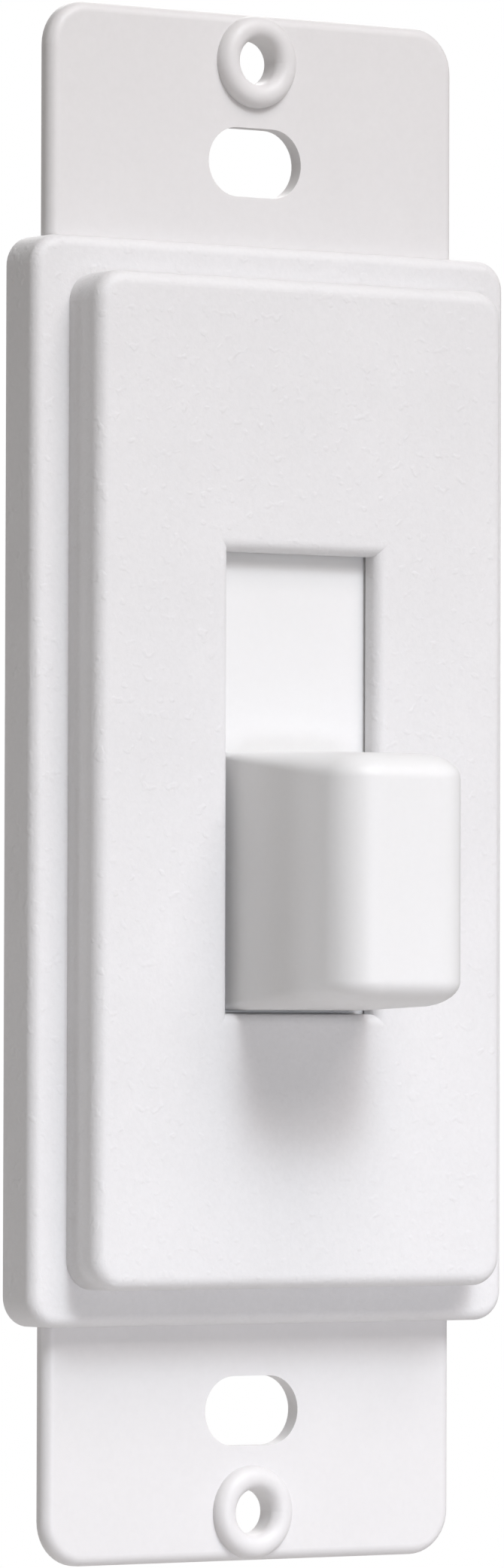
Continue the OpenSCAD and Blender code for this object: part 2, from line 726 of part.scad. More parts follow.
// Flat part of a terminal that carries a contact; side is -1 or 1.
module terminal_seat(side) {
  mirror([side < 0 ? 1 : 0, 0, 0]) difference() {
    box([seat_x, terminal_y0, -seat_z - terminal_t], [wall_x, terminal_y1, -seat_z]);
    translate([contact_x, contact_y, -seat_z - terminal_t - cut])
      cylinder(r = contact_r / 2 + seat_fit, h = terminal_t + 2 * cut);
  }
}

// Threaded hole of a terminal screw at height z.
module terminal_thread(z) {
  translate([wall_x - terminal_t - cut, pivot_y, z]) rotate([0, 90, 0])
    cylinder(r = terminal_screw_r + seat_fit, h = terminal_t + 2 * cut);
}

// Strip from the right contact up the right wall to the upper screw.
module line_terminal() {
  x0 = wall_x - terminal_t;
  color(brass_rgb) union() {
    terminal_seat(1);
    box([x0, terminal_y0, -seat_z - terminal_t], [wall_x, riser_y1, -seat_z]);
    difference() {
      union() {
        box([x0, riser_y0, -seat_z - terminal_t],
            [wall_x, riser_y1, terminal_screw_z + terminal_plate_h / 2]);
        box([x0, terminal_y0 - cut / 2, terminal_screw_z - terminal_plate_h / 2],
            [wall_x, riser_y1, terminal_screw_z + terminal_plate_h / 2]);
      }
      terminal_thread(terminal_screw_z);
    }
  }
}

// Strip from the left contact down, across and to the lower screw.
module load_terminal() {
  x0 = wall_x - terminal_t;
  color(brass_rgb) {
    terminal_seat(-1);
    box([-wall_x, terminal_y0, load_drop_z], [-x0, terminal_y1, -seat_z]);
    box([-wall_x, terminal_y0, load_drop_z], [wall_x, terminal_y1, load_drop_z + terminal_t]);
    difference() {
      box([x0, terminal_y0, load_drop_z], [wall_x, terminal_y1, load_riser_top]);
      terminal_thread(-terminal_screw_z);
    }
  }
}

// Terminal screw in from the right, at height z.
module terminal_screw(z) {
  head_x = clamp_x + clamp_t;
  color(brass_rgb) translate([0, pivot_y, z]) rotate([0, 90, 0]) difference() {
    union() {
      translate([0, 0, terminal_screw_tip])
        cylinder(r = terminal_screw_r, h = head_x - terminal_screw_tip + cut / 2);
      translate([0, 0, head_x]) cylinder(r = terminal_head_r, h = terminal_head_t / 2);
      translate([0, 0, head_x + terminal_head_t / 2])
        cylinder(r1 = terminal_head_r, r2 = terminal_head_r * head_taper,
                 h = terminal_head_t / 2);
    }
    translate([0, 0, head_x + terminal_head_t])
      cube([driver_w, 3 * terminal_head_r, 2 * driver_d], center = true);
  }
}
module line_screw() { terminal_screw(terminal_screw_z); }
module load_screw() { terminal_screw(-terminal_screw_z); }

// Square plate that presses a wire on the terminal, at height z.
module wire_clamp(z) {
  color(steel_rgb) difference() {
    box([clamp_x, pivot_y - clamp_side / 2, z - clamp_side / 2],
        [clamp_x + clamp_t, pivot_y + clamp_side / 2, z + clamp_side / 2]);
    translate([clamp_x - cut, pivot_y, z]) rotate([0, 90, 0])
      cylinder(r = terminal_screw_r + side_fit, h = clamp_t + 2 * cut);
  }
}
module line_clamp() { wire_clamp(terminal_screw_z); }
module load_clamp() { wire_clamp(-terminal_screw_z); }

// ---- drawing ----

face_frame();
mounting_strap();
toggle_knob();
shutter_plate();
guide_plate();
stop_pad_lower();
stop_pad_upper();
rear_housing();
housing_screw_1();
housing_screw_2();
housing_screw_3();
housing_screw_4();
toggle_lever();
pivot_pin();
detent_leaf_left();
detent_leaf_right();
contact_carriage();
bridge_bar();
bridge_spring();
moving_contact_left();
moving_contact_right();
fixed_contact_left();
fixed_contact_right();
line_terminal();
load_terminal();
line_screw();
load_screw();
line_clamp();
load_clamp();
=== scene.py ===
import json
import math

import bpy
from mathutils import Matrix, Vector


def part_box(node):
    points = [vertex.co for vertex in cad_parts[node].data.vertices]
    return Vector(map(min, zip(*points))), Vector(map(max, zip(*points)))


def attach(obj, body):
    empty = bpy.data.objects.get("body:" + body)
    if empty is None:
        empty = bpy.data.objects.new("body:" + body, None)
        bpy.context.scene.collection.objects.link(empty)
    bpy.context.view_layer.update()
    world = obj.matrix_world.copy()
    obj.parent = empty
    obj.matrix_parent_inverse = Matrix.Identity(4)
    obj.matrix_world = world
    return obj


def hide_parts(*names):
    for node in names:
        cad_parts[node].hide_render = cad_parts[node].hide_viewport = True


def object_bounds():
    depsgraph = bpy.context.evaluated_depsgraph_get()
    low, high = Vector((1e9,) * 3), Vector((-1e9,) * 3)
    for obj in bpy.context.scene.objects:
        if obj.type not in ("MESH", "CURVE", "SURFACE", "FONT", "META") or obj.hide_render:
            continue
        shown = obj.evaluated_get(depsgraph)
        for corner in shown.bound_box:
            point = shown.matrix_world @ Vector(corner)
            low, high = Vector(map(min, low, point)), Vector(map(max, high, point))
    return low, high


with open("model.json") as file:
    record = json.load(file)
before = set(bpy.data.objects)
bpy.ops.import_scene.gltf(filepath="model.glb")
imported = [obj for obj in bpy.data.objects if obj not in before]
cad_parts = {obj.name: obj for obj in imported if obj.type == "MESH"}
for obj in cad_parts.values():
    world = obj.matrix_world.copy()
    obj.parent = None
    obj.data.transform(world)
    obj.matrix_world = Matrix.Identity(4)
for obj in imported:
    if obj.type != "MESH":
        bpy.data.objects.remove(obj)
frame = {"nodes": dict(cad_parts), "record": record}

MM = 0.001
QUARTER = math.radians(90)
ROUND = 40
CAD_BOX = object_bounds()
NODES = frame["nodes"]

# Camera, in the row frame: it looks at the middle of the strap's front face.
CAMERA_AZIMUTH = -34.7
CAMERA_ELEVATION = -1.66
CAMERA_ROLL = 0.16
CAMERA_DISTANCE = 595 * MM
CAMERA_LENS = 204.6
CAMERA_AIM = Vector((-0.1, -1.1, 0.1)) * MM

# Sizes in the materials: plastic's soft mottling, and its pips in grains; metal's tarnish and
# streaks.
MOTTLE_SIZE = 9 * MM
PIP_GRAINS = 2.6
TARNISH_SIZE = 3 * MM
STREAK_SIZE = 0.5 * MM

# Shape of the knob that its box doesn't give: the draft of its sides, the radius of its
# corners at the base, the rounding of its front at the sides and at the ends, its wall, the
# depths between which the two ribs lie, and how far from the middle they start and end.
KNOB_DRAFT = 0.25 * MM
KNOB_BASE_R = 0.5 * MM
KNOB_EDGE_R = 2.85 * MM
KNOB_END_R = 1.7 * MM
KNOB_WALL = 1.5 * MM
RIB_NEAR = 7.6 * MM
RIB_FAR = 12.4 * MM
RIB_INNER = 1.8 * MM
RIB_OUTER = 2.9 * MM

# Screws: height of the head, radius of the shank, pitch of the thread, height of the head's
# dome and corners of a ring; then the bars of their recesses, whose floor is taper times the
# mouth.
HOUSING_SCREW = {"head_t": 1.4 * MM, "shank_r": 1.1 * MM, "pitch": 0.8 * MM,
                 "dome": 0.75 * MM, "steps": 32}
HOUSING_CROSS = {"length": 2.3 * MM, "width": 0.5 * MM, "depth": 0.9 * MM, "taper": 0.55}
TERMINAL_SCREW = {"head_t": 2.0 * MM, "shank_r": 1.6 * MM, "pitch": 0.79 * MM,
                  "dome": 0.5 * MM, "steps": 48}
TERMINAL_SLOT = {"length": 12 * MM, "width": 0.9 * MM, "depth": 0.8 * MM, "taper": 1.0}
TERMINAL_CROSS = {"length": 3.4 * MM, "width": 1.2 * MM, "depth": 1.3 * MM, "taper": 0.45}

# Wire clamps: their hole, broken edge and grip grooves.
CLAMP_HOLE_R = 1.8 * MM
CLAMP_EDGE = 0.25 * MM
GROOVE_HALF_W = 0.22 * MM
GROOVE_DEPTH = 0.25 * MM
GROOVE_PITCH = 0.85 * MM

# Contacts: height of the silver button on its stem.
BUTTON_T = 0.8 * MM

# Bridge spring: radius of its wire, and its turns.
WIRE_R = 0.27 * MM
COIL_TURNS = 6.5

# Tints of the lights and the surround: the upper half is lit a little warmer than the lower.
KEY_TINT = (0.84, 0.94, 1.0)
WIDE_TINT = (1.0, 0.925, 0.92)
LOW_TINT = (0.89, 0.91, 1.0)
LEFT_TINT = (0.94, 0.95, 1.0)
PLAIN_TINT = (1.0, 1.0, 1.0)
SURROUND_TINT = (1.0, 0.965, 0.92)
SURROUND_STRENGTH = 0.265

# Floor, well below the switch, which a wall holds up in use.
FLOOR_DROP = 250 * MM
FLOOR_RADIUS = 1.2
FLOOR_POINTS = 96


# ---- shader helpers ----

def new_material(name):
    """An empty node material, with a way to add a node and a way to link two of them."""
    material = bpy.data.materials.new(name)
    material.use_nodes = True
    tree = material.node_tree
    tree.nodes.clear()

    def add(kind, **settings):
        node = tree.nodes.new(kind)
        for key, value in settings.items():
            setattr(node, key, value)
        return node

    def link(out_node, out_name, in_node, in_name):
        tree.links.new(out_node.outputs[out_name], in_node.inputs[in_name])

    return material, add, link


def noise(add, link, coords, scale, detail=4.0, roughness=0.55, distortion=0.0):
    """A noise texture in object space; scale is features per metre."""
    node = add("ShaderNodeTexNoise")
    node.inputs["Scale"].default_value = scale
    node.inputs["Detail"].default_value = detail
    node.inputs["Roughness"].default_value = roughness
    node.inputs["Distortion"].default_value = distortion
    link(coords, "Object", node, "Vector")
    return node


def remap(add, link, source, source_name, low, high, from_low=0.3, from_high=0.7):
    """Maps a value from one range to another."""
    node = add("ShaderNodeMapRange")
    node.inputs["From Min"].default_value = from_low
    node.inputs["From Max"].default_value = from_high
    node.inputs["To Min"].default_value = low
    node.inputs["To Max"].default_value = high
    link(source, source_name, node, "Value")
    return node


def tinted(colour, factor):
    """colour with its channels multiplied by factor, as RGBA."""
    return (*[min(1.0, c * factor) for c in colour], 1.0)


# ---- materials ----

def plastic(name, colour, roughness, grain, grain_depth, mottle=0.02, glow=0.12, pips=0.0):
    """Moulded plastic: fine surface grain, soft mottling and a little light let through.

    grain is the size of the surface's grain in metres, and grain_depth its height; pips is
    the height, in grain depths, of the few larger pips that stand out of the grain.
    """
    material, add, link = new_material(name)
    out = add("ShaderNodeOutputMaterial")
    shader = add("ShaderNodeBsdfPrincipled")
    coords = add("ShaderNodeTexCoord")
    link(shader, "BSDF", out, "Surface")

    cloud = noise(add, link, coords, 1 / MOTTLE_SIZE, detail=3.0)
    fine = noise(add, link, coords, 1 / grain, detail=2.0, roughness=0.6)
    shade = add("ShaderNodeMix", data_type="RGBA")
    shade.inputs["A"].default_value = tinted(colour, 1 - mottle)
    shade.inputs["B"].default_value = tinted(colour, 1 + mottle)
    link(remap(add, link, cloud, "Fac", 0.0, 1.0), "Result", shade, "Factor")
    speck = add("ShaderNodeMix", data_type="RGBA", blend_type="MULTIPLY")
    speck.inputs["Factor"].default_value = 1.0
    grey = remap(add, link, fine, "Fac", 1 - 2 * mottle, 1.0)
    link(shade, "Result", speck, "A")
    link(grey, "Result", speck, "B")
    link(speck, "Result", shader, "Base Color")

    rough = remap(add, link, fine, "Fac", roughness - 0.05, roughness + 0.05)
    link(rough, "Result", shader, "Roughness")
    bump = add("ShaderNodeBump")
    bump.inputs["Strength"].default_value = 0.6
    bump.inputs["Distance"].default_value = grain_depth
    sparse = noise(add, link, coords, 1 / (PIP_GRAINS * grain), detail=1.0)
    raised = remap(add, link, sparse, "Fac", 0.0, pips, from_low=0.60, from_high=0.72)
    height = add("ShaderNodeMath", operation="ADD")
    link(fine, "Fac", height, 0)
    link(raised, "Result", height, 1)
    link(height, "Value", bump, "Height")
    link(bump, "Normal", shader, "Normal")

    shader.inputs["Subsurface Weight"].default_value = glow
    shader.inputs["Subsurface Radius"].default_value = (1.0, 0.95, 0.9)
    shader.inputs["Subsurface Scale"].default_value = 0.6 * MM
    shader.inputs["IOR"].default_value = 1.49
    return material


def metal(name, colour, roughness, brushed=0.0, tarnish=None):
    """Metal with fine streaks, uneven polish and, if given, a darker tarnish in patches."""
    material, add, link = new_material(name)
    out = add("ShaderNodeOutputMaterial")
    shader = add("ShaderNodeBsdfPrincipled")
    coords = add("ShaderNodeTexCoord")
    link(shader, "BSDF", out, "Surface")
    shader.inputs["Metallic"].default_value = 1.0

    patches = noise(add, link, coords, 1 / TARNISH_SIZE, detail=5.0, distortion=0.4)
    base = add("ShaderNodeMix", data_type="RGBA")
    base.inputs["A"].default_value = tinted(colour, 1.0)
    base.inputs["B"].default_value = tinted(tarnish or colour, 1.0 if tarnish else 0.8)
    spread = remap(add, link, patches, "Fac", 0.0, 1.0, from_low=0.45, from_high=0.8)
    link(spread, "Result", base, "Factor")
    link(base, "Result", shader, "Base Color")

    stretch = add("ShaderNodeMapping")
    stretch.inputs["Scale"].default_value = (1.0, 1.0, 1.0 + 20 * brushed)
    link(coords, "Object", stretch, "Vector")
    streak = add("ShaderNodeTexNoise")
    streak.inputs["Scale"].default_value = 1 / STREAK_SIZE
    streak.inputs["Detail"].default_value = 3.0
    link(stretch, "Vector", streak, "Vector")
    rough = remap(add, link, streak, "Fac", roughness - 0.08, roughness + 0.12)
    link(rough, "Result", shader, "Roughness")
    bump = add("ShaderNodeBump")
    bump.inputs["Strength"].default_value = 0.35
    bump.inputs["Distance"].default_value = 0.01 * MM
    link(streak, "Fac", bump, "Height")
    link(bump, "Normal", shader, "Normal")
    return material


def rubber(name, colour):
    """Soft black rubber with a fine dusty grain."""
    return plastic(name, colour, 0.7, 0.12 * MM, 0.02 * MM, mottle=0.15, glow=0.0)


def make_materials():
    """One material for each slot of the record."""
    white = (0.72, 0.715, 0.72)
    return {
        "frame_white": plastic("frame_white", white, 0.58, 0.30 * MM, 0.03 * MM, mottle=0.016,
                               pips=1.2),
        "strap_white": plastic("strap_white", (0.71, 0.70, 0.70), 0.48, 0.45 * MM, 0.006 * MM,
                               mottle=0.010),
        "knob_white": plastic("knob_white", (0.76, 0.76, 0.76), 0.48, 0.40 * MM, 0.004 * MM,
                              mottle=0.006),
        "guide_grey": plastic("guide_grey", (0.55, 0.56, 0.57), 0.45, 0.3 * MM, 0.008 * MM),
        "housing_grey": plastic("housing_grey", (0.34, 0.36, 0.38), 0.55, 0.2 * MM, 0.02 * MM,
                                mottle=0.04, glow=0.0),
        "lever_dark": plastic("lever_dark", (0.03, 0.03, 0.033), 0.35, 0.3 * MM, 0.006 * MM,
                              mottle=0.05, glow=0.0),
        "carriage_tan": plastic("carriage_tan", (0.36, 0.22, 0.10), 0.5, 0.25 * MM, 0.01 * MM,
                                mottle=0.06, glow=0.0),
        "pad_black": rubber("pad_black", (0.02, 0.02, 0.021)),
        "steel": metal("steel", (0.62, 0.64, 0.66), 0.30, brushed=0.3, tarnish=(0.42, 0.43, 0.44)),
        "spring_steel": metal("spring_steel", (0.50, 0.51, 0.53), 0.25, brushed=1.0),
        "brass": metal("brass", (0.80, 0.58, 0.22), 0.26, brushed=0.3, tarnish=(0.52, 0.34, 0.14)),
        "copper": metal("copper", (0.78, 0.38, 0.22), 0.28, brushed=0.5, tarnish=(0.42, 0.20, 0.12)),
        "contact_silver": metal("contact_silver", (0.88, 0.87, 0.84), 0.2),
    }


def paint_nodes(materials):
    """Gives every CAD node the material of its slot in the record."""
    for part in frame["record"]["subparts"]:
        mesh = NODES[part["node"]].data
        mesh.materials.clear()
        mesh.materials.append(materials[part["material_slot"]])


# ---- edges ----

def soften_edges(node, width, angle=40.0, segments=2):
    """Breaks a CAD node's sharp edges, as a moulding or a stamping has them."""
    obj = NODES[node]
    weld = obj.modifiers.new("weld", "WELD")
    weld.merge_threshold = 0.001 * MM
    bevel = obj.modifiers.new("edge", "BEVEL")
    bevel.width = width
    bevel.segments = segments
    bevel.limit_method = "ANGLE"
    bevel.angle_limit = math.radians(angle)
    bevel.harden_normals = False


# ---- mesh helpers ----

def new_object(name, verts, faces):
    """A mesh object in the scene, with nothing set on it."""
    mesh = bpy.data.meshes.new(name)
    mesh.from_pydata(verts, [], faces)
    mesh.update()
    obj = bpy.data.objects.new(name, mesh)
    bpy.context.scene.collection.objects.link(obj)
    return obj


def rings_to_faces(rings, steps):
    """Faces that join rings of steps points each, closed at both ends."""
    faces = [(i * steps + j, i * steps + (j + 1) % steps,
              (i + 1) * steps + (j + 1) % steps, (i + 1) * steps + j)
             for i in range(rings - 1) for j in range(steps)]
    faces.append(tuple(reversed(range(steps))))
    faces.append(tuple(range((rings - 1) * steps, rings * steps)))
    return faces


def ring(radius, height, steps):
    """A circle of points about Z; radius may be a function of the angle's share of a turn."""
    points = []
    for j in range(steps):
        share = j / steps
        r = radius(share) if callable(radius) else radius
        points.append((r * math.cos(math.tau * share), r * math.sin(math.tau * share), height))
    return points


def box_verts(lo, hi, taper=1.0):
    """Corners of a box whose top is scaled by taper about its own middle."""
    mid = [(a + b) / 2 for a, b in zip(lo, hi)]
    verts = []
    for z, k in ((lo[2], 1.0), (hi[2], taper)):
        for x, y in ((lo[0], lo[1]), (hi[0], lo[1]), (hi[0], hi[1]), (lo[0], hi[1])):
            verts.append((mid[0] + (x - mid[0]) * k, mid[1] + (y - mid[1]) * k, z))
    return verts


def carve(obj, cutters):
    """Takes each cutter's shape out of obj, then deletes the cutters."""
    for cutter in cutters:
        step = obj.modifiers.new("cut", "BOOLEAN")
        step.operation = "DIFFERENCE"
        step.solver = "EXACT"
        step.object = cutter
    graph = bpy.context.evaluated_depsgraph_get()
    carved = bpy.data.meshes.new_from_object(obj.evaluated_get(graph))
    obj.modifiers.clear()
    obj.data = carved
    for cutter in cutters:
        bpy.data.objects.remove(cutter)


def finish_piece(obj, body, slot, replaced, matrix=None, sharp=35.0):
    """Places a new piece, gives it its material and hides the CAD nodes that it stands for."""
    if matrix is not None:
        obj.data.transform(matrix)
    obj.data.materials.clear()
    obj.data.materials.append(MATERIALS[slot])
    for face in obj.data.polygons:
        face.use_smooth = True
    obj.data.set_sharp_from_angle(angle=math.radians(sharp))
    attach(obj, body)
    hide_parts(*replaced)


BOX_FACES = rings_to_faces(2, 4)


# ---- screws, clamps, contacts and spring ----

def thread_rings(radius, start, end, pitch, depth, steps):
    """Rings of a threaded shank, whose thread fades out at both ends."""
    per_turn = 8
    count = round((end - start) / pitch * per_turn)
    points = []
    for i in range(count + 1):
        height = start + (end - start) * i / count
        fade = min(1.0, i / per_turn, (count - i) / per_turn)

        def radius_at(share, height=height, fade=fade):
            phase = (height / pitch - share) % 1.0
            crest = min(1.0, max(0.0, 3.2 * (0.5 - abs(phase - 0.5)) - 0.3))
            return radius - depth * (1.0 - crest * fade)

        points += ring(radius_at, height, steps)
    return points


def screw(node, head_r, length, turn, shape):
    """A threaded screw, made tip down along Z, and the matrix that puts it in its place."""
    shank_r, dome, steps = shape["shank_r"], shape["dome"], shape["steps"]
    tip = 0.35 * shank_r
    depth = 0.16 * shank_r
    chamfer = 0.1 * MM
    shank_end = length - shape["head_t"]
    verts = ring(shank_r - 2 * depth, 0.0, steps)
    verts += thread_rings(shank_r, tip, shank_end - tip, shape["pitch"], depth, steps)
    for radius, height in ((shank_r, shank_end), (head_r - chamfer, shank_end),
                           (head_r, shank_end + chamfer), (head_r, length - dome),
                           (head_r - 0.2 * dome, length - 0.7 * dome),
                           (head_r - 0.7 * dome, length - 0.25 * dome),
                           (head_r - 1.6 * dome, length)):
        verts += ring(radius, height, steps)
    obj = new_object(node + "_threaded", verts, rings_to_faces(len(verts) // steps, steps))
    lo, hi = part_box(node)
    return obj, Matrix.Translation((lo + hi) / 2) @ turn @ Matrix.Translation((0, 0, -length / 2))


def recess(bar, top, turned):
    """A cutter for one bar of a driver's recess in a head whose top is at top."""
    length, width, depth, taper = bar["length"], bar["width"], bar["depth"], bar["taper"]
    verts = box_verts((-length / 2, -width / 2, -depth), (length / 2, width / 2, 0.0))
    floor = [(x * taper, y * taper, z) for x, y, z in verts[:4]]
    mouth = [(x, y, z + depth) for x, y, z in verts[4:]]
    neck = [(x, y, 0.0) for x, y, z in verts[4:]]
    cutter = new_object("recess", floor + neck + mouth, rings_to_faces(3, 4))
    cutter.data.transform(Matrix.Translation((0, 0, top)) @ Matrix.Rotation(turned, 4, "Z"))
    return cutter


def make_housing_screws():
    """Four pan-head screws with a cross recess, heads to the back."""
    to_back = Matrix.Rotation(-QUARTER, 4, "X")
    for number in range(1, 5):
        node = f"housing_screw_{number}"
        lo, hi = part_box(node)
        head_r = (hi.x - lo.x) / 2
        length = hi.y - lo.y
        obj, place = screw(node, head_r, length, to_back, HOUSING_SCREW)
        turned = math.radians(20 + 31 * number)
        carve(obj, [recess(HOUSING_CROSS, length, turned),
                    recess(HOUSING_CROSS, length, turned + QUARTER)])
        finish_piece(obj, "frame", "steel", [node], place)


def make_terminal_screws():
    """Two large terminal screws, slotted and crossed, heads to the right."""
    to_right = Matrix.Rotation(QUARTER, 4, "Y")
    for node, turned in (("line_screw", 0.3), ("load_screw", -0.5)):
        lo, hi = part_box(node)
        head_r = (hi.z - lo.z) / 2
        length = hi.x - lo.x
        obj, place = screw(node, head_r, length, to_right, TERMINAL_SCREW)
        carve(obj, [recess(TERMINAL_SLOT, length, turned),
                    recess(TERMINAL_CROSS, length, turned + QUARTER),
                    recess(TERMINAL_CROSS, length, turned)])
        finish_piece(obj, "frame", "brass", [node], place)


def make_wire_clamps():
    """Two square pressure plates, grooved on the side that grips the wire."""
    for node in ("line_clamp", "load_clamp"):
        lo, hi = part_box(node)
        middle = (lo + hi) / 2
        half = (hi - lo) / 2
        verts = box_verts((-half.z, -half.y, -half.x), (half.z, half.y, half.x))
        obj = new_object(node + "_grooved", verts, BOX_FACES)
        bevel = obj.modifiers.new("edge", "BEVEL")
        bevel.width = CLAMP_EDGE
        bevel.segments = 3
        hole = ring(CLAMP_HOLE_R, -2 * half.x, ROUND) + ring(CLAMP_HOLE_R, 2 * half.x, ROUND)
        cutters = [new_object("hole", hole, rings_to_faces(2, ROUND))]
        for i in range(-3, 4):
            groove = box_verts((-GROOVE_HALF_W, -2 * half.y, -half.x - 0.1 * MM),
                               (GROOVE_HALF_W, 2 * half.y, -half.x + GROOVE_DEPTH), 0.3)
            shifted = [(x + i * GROOVE_PITCH, math.copysign(2 * half.y, y), z)
                       for x, y, z in groove]
            cutters.append(new_object("groove", shifted, BOX_FACES))
        carve(obj, cutters)
        turn = Matrix.Rotation(QUARTER, 4, "Y")
        finish_piece(obj, "frame", "steel", [node], Matrix.Translation(middle) @ turn)


def make_contacts():
    """Rounds the faces of the four silver contacts."""
    for node, body, up in (("moving_contact_left", "carriage", -1),
                           ("moving_contact_right", "carriage", -1),
                           ("fixed_contact_left", "frame", 1),
                           ("fixed_contact_right", "frame", 1)):
        lo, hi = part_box(node)
        radius = (hi.x - lo.x) / 2
        tall = hi.z - lo.z
        stem = [(radius / 2, -tall), (radius / 2, -BUTTON_T)] if tall > 1.5 * BUTTON_T else []
        profile = stem + [(radius, -BUTTON_T), (radius, -0.35 * MM), (0.9 * radius, -0.14 * MM),
                          (0.6 * radius, -0.04 * MM), (0.2 * radius, 0.0)]
        verts = []
        for r, height in profile:
            verts += ring(r, height, ROUND)
        obj = new_object(node + "_domed", verts, rings_to_faces(len(profile), ROUND))
        face_z = hi.z if up > 0 else lo.z
        flip = Matrix.Identity(4) if up > 0 else Matrix.Rotation(math.pi, 4, "X")
        middle = (lo + hi) / 2
        place = Matrix.Translation((middle.x, middle.y, face_z)) @ flip
        finish_piece(obj, body, "contact_silver", [node], place)


def make_bridge_coil():
    """A coil spring that presses the bridge bar down inside the carriage's cage."""
    lo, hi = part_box("bridge_spring")
    coil_r = (hi.y - lo.y) / 2
    per_turn, steps = 24, 10
    low, high = lo.z + WIRE_R, hi.z - WIRE_R
    count = int(COIL_TURNS * per_turn)
    middle = (lo + hi) / 2
    ends = 1.0 / COIL_TURNS
    flat = 2.1 * WIRE_R
    verts = []
    for i in range(count + 1):
        share = i / count
        eased = min(1.0, max(0.0, (share - ends) / (1 - 2 * ends)))
        height = low + flat * min(1.0, share / ends) + flat * max(0.0, (share - 1) / ends + 1)
        height += (high - low - 2 * flat) * eased
        angle = math.tau * COIL_TURNS * share
        out = Vector((math.cos(angle), math.sin(angle), 0.0))
        for j in range(steps):
            around = math.tau * j / steps
            verts.append(tuple(Vector((middle.x, middle.y, height))
                               + out * (coil_r + WIRE_R * math.cos(around))
                               + Vector((0, 0, WIRE_R * math.sin(around)))))
    obj = new_object("bridge_coil", verts, rings_to_faces(count + 1, steps))
    finish_piece(obj, "carriage", "spring_steel", ["bridge_spring"], sharp=60.0)


# ---- knob ----

def rounded_ring(half_w, half_h, corner_x, corner_z, depth, arc=8):
    """Points of a rounded rectangle about the Y axis, depth in front of the strap's back."""
    points = []
    for sx, sz, start in ((1, 1, 0), (-1, 1, 1), (-1, -1, 2), (1, -1, 3)):
        for i in range(arc + 1):
            angle = QUARTER * (start + i / arc)
            points.append((sx * (half_w - corner_x) + corner_x * math.cos(angle), -depth,
                           sz * (half_h - corner_z) + corner_z * math.sin(angle)))
    return points


def knob_levels(half_w, half_h, base, front):
    """Outlines of the knob from its base to its front, whose corners grow rounder."""
    base_r, side_r, end_r = KNOB_BASE_R, KNOB_EDGE_R, KNOB_END_R
    shoulder = front - side_r
    levels = [(half_w, half_h, base_r, base_r, base)]
    for share in (0.02, 0.25, 0.5, 0.75, 0.96, 1.0):
        drawn_in = KNOB_DRAFT * share
        levels.append((half_w - drawn_in, half_h - drawn_in, base_r + (side_r - base_r) * share,
                       base_r + (end_r - base_r) * share, base + (shoulder - base) * share))
    half_w, half_h, steps = half_w - KNOB_DRAFT, half_h - KNOB_DRAFT, 16
    for i in range(1, steps):
        angle = QUARTER * i / steps
        left = math.cos(angle)
        levels.append((half_w - side_r * (1 - left), half_h - end_r * (1 - left),
                       side_r * left, end_r * left, shoulder + side_r * math.sin(angle)))
    for last in (0.05 * MM, 0.01 * MM):
        levels.append((half_w - side_r, half_h - end_r, last, last, front))
        half_w -= 0.1 * MM
        half_h -= 0.1 * MM
    return levels


def make_knob():
    """The block knob, smooth all round, with the hollow and the two ribs of the CAD node."""
    lo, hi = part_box("toggle_knob")
    front, base = -lo.y, -hi.y
    half_w, half_h = (hi.x - lo.x) / 2, (hi.z - lo.z) / 2
    levels = knob_levels(half_w, half_h, base, front)
    verts = []
    for level in levels:
        verts += rounded_ring(*level)
    obj = new_object("knob_block", verts, rings_to_faces(len(levels), len(verts) // len(levels)))
    in_w, in_h = half_w - KNOB_DRAFT - KNOB_WALL, half_h - KNOB_DRAFT - KNOB_WALL
    hollows = [(base - KNOB_WALL, RIB_NEAR, -in_h, in_h),
               (RIB_FAR, front - KNOB_WALL, -in_h, in_h)]
    overlap = 0.2 * MM
    for low, high in ((-in_h, -RIB_OUTER), (-RIB_INNER, RIB_INNER), (RIB_OUTER, in_h)):
        hollows.append((RIB_NEAR - overlap, RIB_FAR + overlap, low, high))
    cutters = []
    for near, far, low, high in hollows:
        hollow = box_verts((-in_w, -far, low), (in_w, -near, high))
        cutters.append(new_object("hollow", hollow, BOX_FACES))
    carve(obj, cutters)
    place = Matrix.Translation(((lo.x + hi.x) / 2, 0, (lo.z + hi.z) / 2))
    finish_piece(obj, "slider", "knob_white", ["toggle_knob"], place)


# ---- stage, light and camera ----

def make_floor():
    """A plain pale disc under the switch."""
    rim = ring(FLOOR_RADIUS, CAD_BOX[0].z - FLOOR_DROP, FLOOR_POINTS)
    floor = new_object("floor", rim, [range(FLOOR_POINTS)])
    material, add, link = new_material("floor_pale")
    out = add("ShaderNodeOutputMaterial")
    shader = add("ShaderNodeBsdfPrincipled")
    shader.inputs["Base Color"].default_value = (0.86, 0.86, 0.86, 1.0)
    shader.inputs["Roughness"].default_value = 0.8
    link(shader, "BSDF", out, "Surface")
    floor.data.materials.append(material)


def place_light(name, data, azimuth, elevation, distance, aim, colour):
    """Puts a light in the scene, looking at aim; the angles are as for the camera."""
    a, e = math.radians(azimuth), math.radians(elevation)
    away = Vector((math.sin(a) * math.cos(e), -math.cos(a) * math.cos(e), math.sin(e)))
    data.color = colour
    light = bpy.data.objects.new(name, data)
    light.location = aim + away * distance
    light.rotation_mode = "QUATERNION"
    light.rotation_quaternion = away.to_track_quat("Z", "Y")
    bpy.context.scene.collection.objects.link(light)


def area_light(name, azimuth, elevation, distance, size, power, colour):
    """A square soft light that looks at the middle of the switch."""
    data = bpy.data.lights.new(name, "AREA")
    data.shape = "SQUARE"
    data.size = size
    data.energy = power
    place_light(name, data, azimuth, elevation, distance, Vector(), colour)


def pool_light(name, azimuth, elevation, distance, radius, power, cone, aim, colour):
    """A soft round light whose pool is brightest at aim and fades out over its cone."""
    data = bpy.data.lights.new(name, "SPOT")
    data.spot_size = math.radians(cone)
    data.spot_blend = 1.0
    data.shadow_soft_size = radius
    data.energy = power
    place_light(name, data, azimuth, elevation, distance, aim, colour)


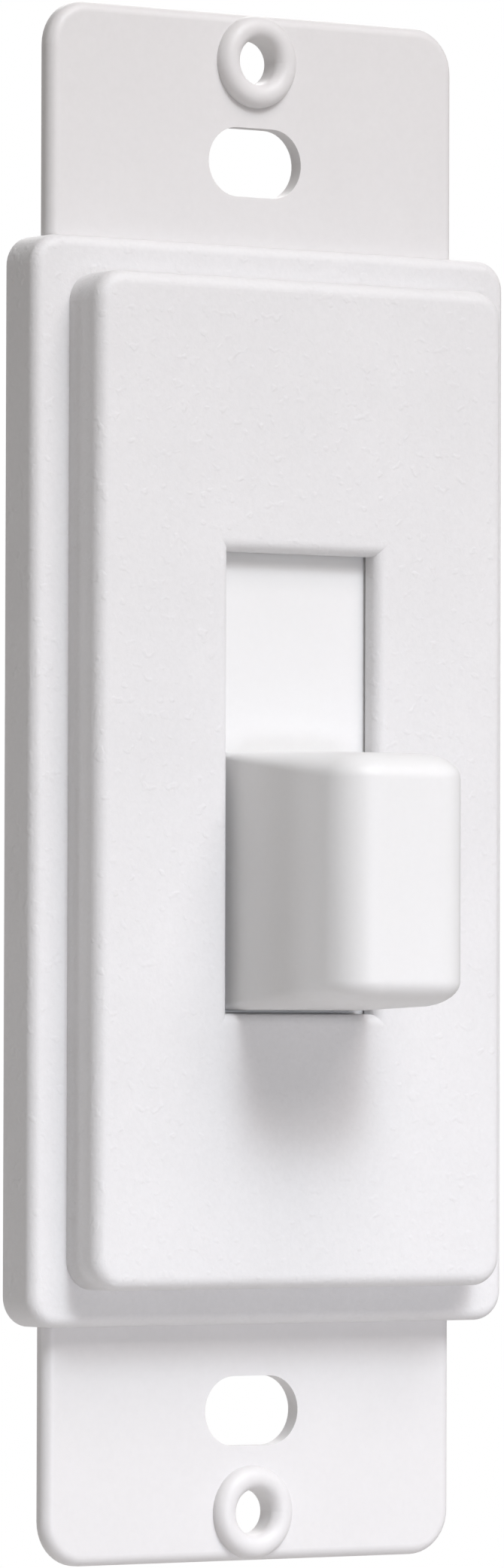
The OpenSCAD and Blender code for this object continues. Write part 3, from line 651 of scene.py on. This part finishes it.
def make_light():
    """Lights above the front, on its lower half, low on the left and behind."""
    low = CAD_BOX[0].z
    pool_light("key", azimuth=0, elevation=42, distance=0.9, radius=0.16, power=25,
               cone=20, aim=Vector((0, 0, 1.36 * low)), colour=KEY_TINT)
    area_light("key_wide", azimuth=6, elevation=45, distance=0.9, size=0.6, power=5.3,
               colour=WIDE_TINT)
    pool_light("low_front", azimuth=0, elevation=-5, distance=0.8, radius=0.10, power=19,
               cone=14, aim=Vector((0.02, 0, 1.55 * low)), colour=LOW_TINT)
    pool_light("low_left", azimuth=-122, elevation=-12, distance=0.6, radius=0.10, power=4.8,
               cone=18, aim=Vector((0, 0, 0.87 * low)), colour=LEFT_TINT)
    area_light("back_rim", azimuth=150, elevation=35, distance=1.0, size=0.5, power=3.0,
               colour=PLAIN_TINT)


def make_surround():
    """A pale world that the camera sees as white and the switch feels as a dim fill."""
    world = bpy.data.worlds.new("surround")
    bpy.context.scene.world = world
    world.use_nodes = True
    tree = world.node_tree
    tree.nodes.clear()
    out = tree.nodes.new("ShaderNodeOutputWorld")
    mix = tree.nodes.new("ShaderNodeMixShader")
    seen = tree.nodes.new("ShaderNodeBackground")
    felt = tree.nodes.new("ShaderNodeBackground")
    path = tree.nodes.new("ShaderNodeLightPath")
    seen.inputs["Color"].default_value = (*PLAIN_TINT, 1.0)
    seen.inputs["Strength"].default_value = 1.0
    felt.inputs["Color"].default_value = (*SURROUND_TINT, 1.0)
    felt.inputs["Strength"].default_value = SURROUND_STRENGTH
    tree.links.new(path.outputs["Is Camera Ray"], mix.inputs["Fac"])
    tree.links.new(felt.outputs["Background"], mix.inputs[1])
    tree.links.new(seen.outputs["Background"], mix.inputs[2])
    tree.links.new(mix.outputs["Shader"], out.inputs["Surface"])


def make_camera():
    """The camera at the photograph's viewing angle."""
    a, e = math.radians(CAMERA_AZIMUTH), math.radians(CAMERA_ELEVATION)
    away = Vector((math.sin(a) * math.cos(e), -math.cos(a) * math.cos(e), math.sin(e)))
    data = bpy.data.cameras.new("camera")
    data.lens = CAMERA_LENS
    data.sensor_width = 36.0
    camera = bpy.data.objects.new("camera", data)
    turn = away.to_track_quat("Z", "Y").to_matrix().to_4x4()
    roll = Matrix.Rotation(math.radians(CAMERA_ROLL), 4, "Z")
    camera.matrix_world = Matrix.Translation(CAMERA_AIM + away * CAMERA_DISTANCE) @ turn @ roll
    data.clip_start = 0.01
    data.clip_end = 20.0
    bpy.context.scene.collection.objects.link(camera)
    bpy.context.scene.camera = camera


make_camera()
MATERIALS = make_materials()
paint_nodes(MATERIALS)
for softened, edge_width in (("bridge_bar", 0.12), ("contact_carriage", 0.12),
                             ("line_terminal", 0.10), ("detent_leaf_left", 0.06),
                             ("detent_leaf_right", 0.06), ("stop_pad_lower", 0.15),
                             ("stop_pad_upper", 0.15)):
    soften_edges(softened, edge_width * MM)
make_housing_screws()
make_terminal_screws()
make_wire_clamps()
make_contacts()
make_bridge_coil()
make_knob()
make_floor()
make_light()
make_surround()
bpy.context.scene.view_settings.view_transform = "Standard"
